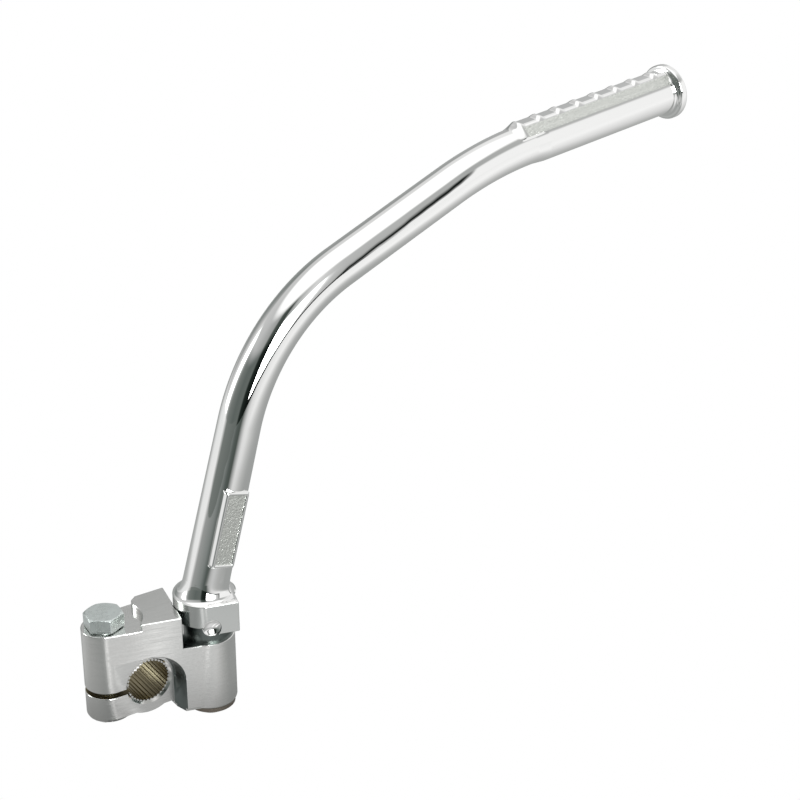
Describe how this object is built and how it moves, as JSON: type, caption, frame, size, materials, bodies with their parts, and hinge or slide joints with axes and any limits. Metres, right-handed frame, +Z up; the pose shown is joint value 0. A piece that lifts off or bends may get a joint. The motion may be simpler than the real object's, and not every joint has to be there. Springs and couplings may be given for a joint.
{
  "type": "kick start lever",
  "caption": "Folding kick start lever: a bent round arm with a ribbed pedal turns on a splined clamp boss with a pinch bolt.",
  "frame": {"origin": "on the splined bore's axis, half way through the boss's thickness", "axes": "+Y along the bore towards the engine, +Z up along the fold pivot, +X from the bore towards the pivot"},
  "size_m": [0.2767, 0.0461, 0.206],
  "materials": {
    "satin_steel": "satin plate over a brushed forging",
    "chrome_plate": "bright chrome plate",
    "zinc_plate": "zinc plate, slightly blue",
    "dark_steel": "dark phosphated steel",
    "oiled_steel": "bare steel with an oil film",
    "hardened_steel": "polished hardened steel"
  },
  "bodies": {
    "boss": {"boss": "satin_steel", "pinch_bolt": "zinc_plate", "thrust_washer": "dark_steel", "detent_ball": "hardened_steel", "detent_spring": "hardened_steel"},
    "lever": {"arm": "chrome_plate", "retaining_washer": "oiled_steel", "circlip": "dark_steel"}
  },
  "joints": [
    {"name": "fold", "type": "hinge", "parent": "boss", "child": "lever", "pos_m": [0.0249, -0.0088, 0], "axis": [0, 0, 1], "range_deg": [-86, 0]}
  ]
}
